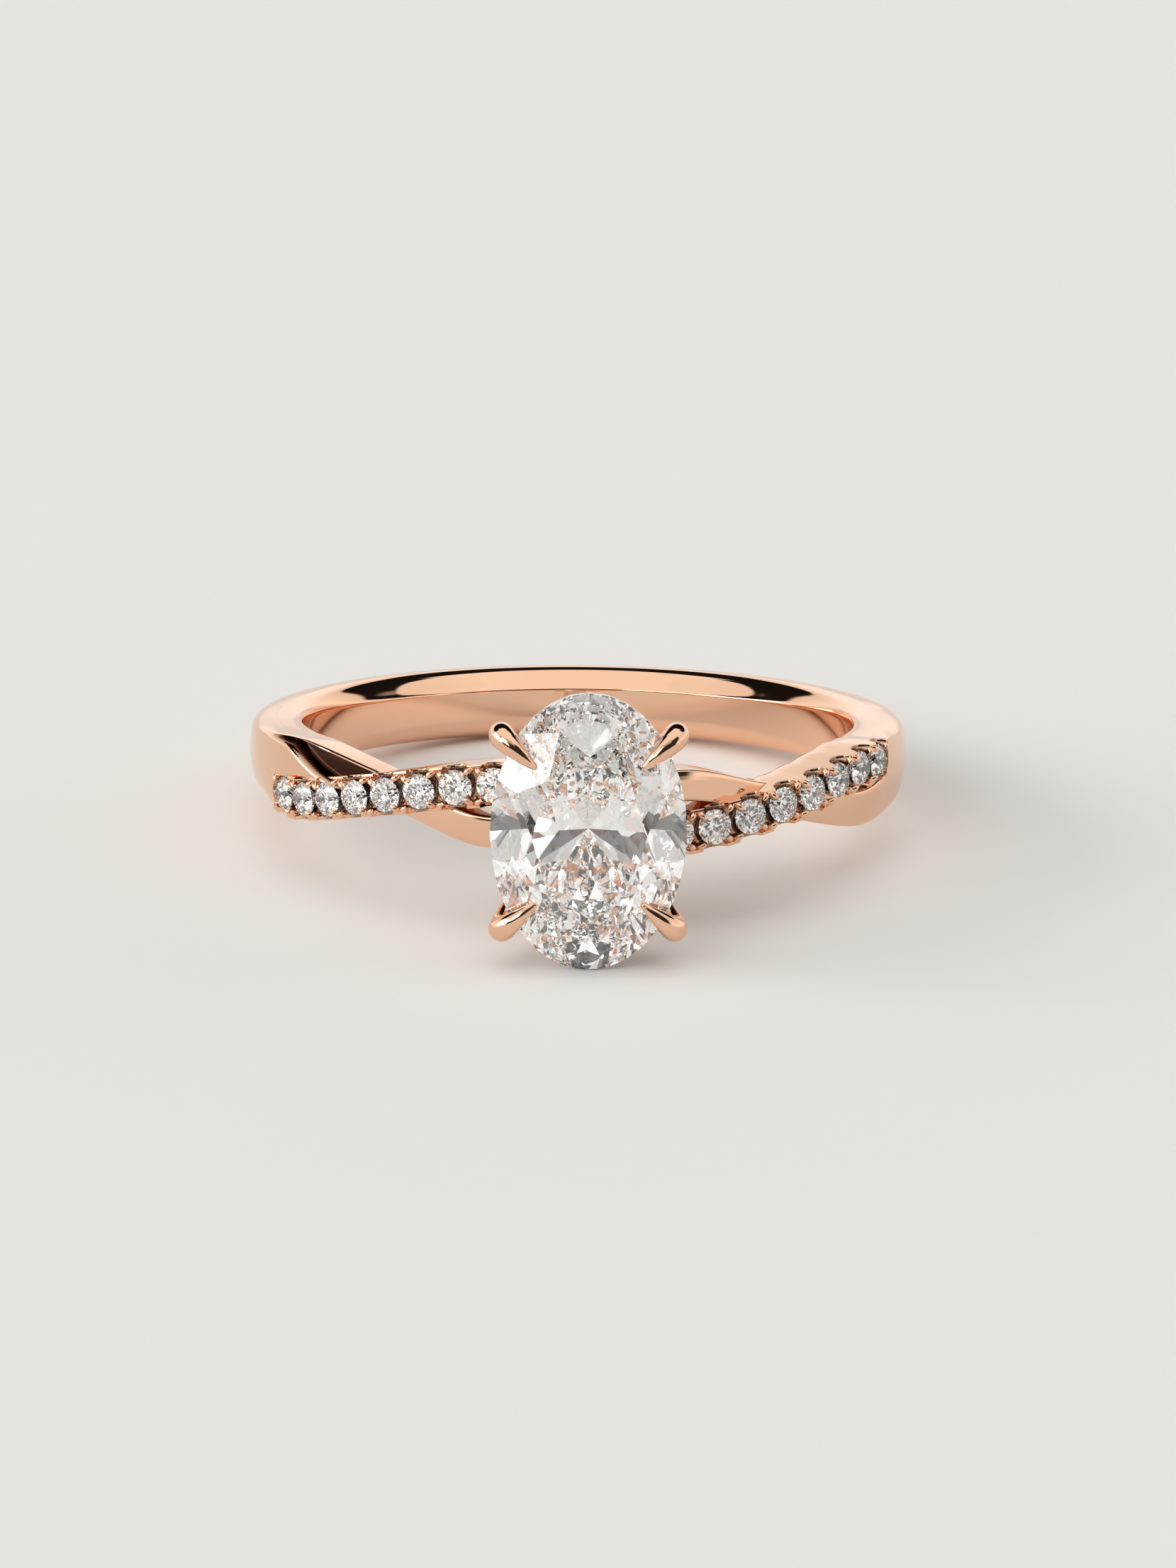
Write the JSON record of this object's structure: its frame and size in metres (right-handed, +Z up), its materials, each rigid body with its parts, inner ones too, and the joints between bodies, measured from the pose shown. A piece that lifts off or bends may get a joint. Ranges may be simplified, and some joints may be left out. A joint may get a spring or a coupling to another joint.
{
  "type": "engagement ring",
  "caption": "Twisted engagement ring: a plain and a stone-set strand wound together, with an oval stone in a four-claw head.",
  "frame": {"origin": "middle of the ring's outline seen from above, on the surface that it lies on", "axes": "+Z up off that surface, +Y from the oval stone to the back of the shank, +X across the finger hole"},
  "size_m": [0.0204, 0.0241, 0.0078],
  "materials": {
    "rose_gold": "polished 14 carat rose gold",
    "diamond": "clear colourless cut stone"
  },
  "bodies": {
    "root": {"shank_and_head": "rose_gold", "centre_stone": "diamond", "left_stone_1": "diamond", "left_stone_2": "diamond", "left_stone_3": "diamond", "left_stone_4": "diamond", "left_stone_5": "diamond", "left_stone_6": "diamond", "left_stone_7": "diamond", "left_stone_8": "diamond", "right_stone_1": "diamond", "right_stone_2": "diamond", "right_stone_3": "diamond", "right_stone_4": "diamond", "right_stone_5": "diamond", "right_stone_6": "diamond", "right_stone_7": "diamond", "right_stone_8": "diamond"}
  },
  "joints": []
}
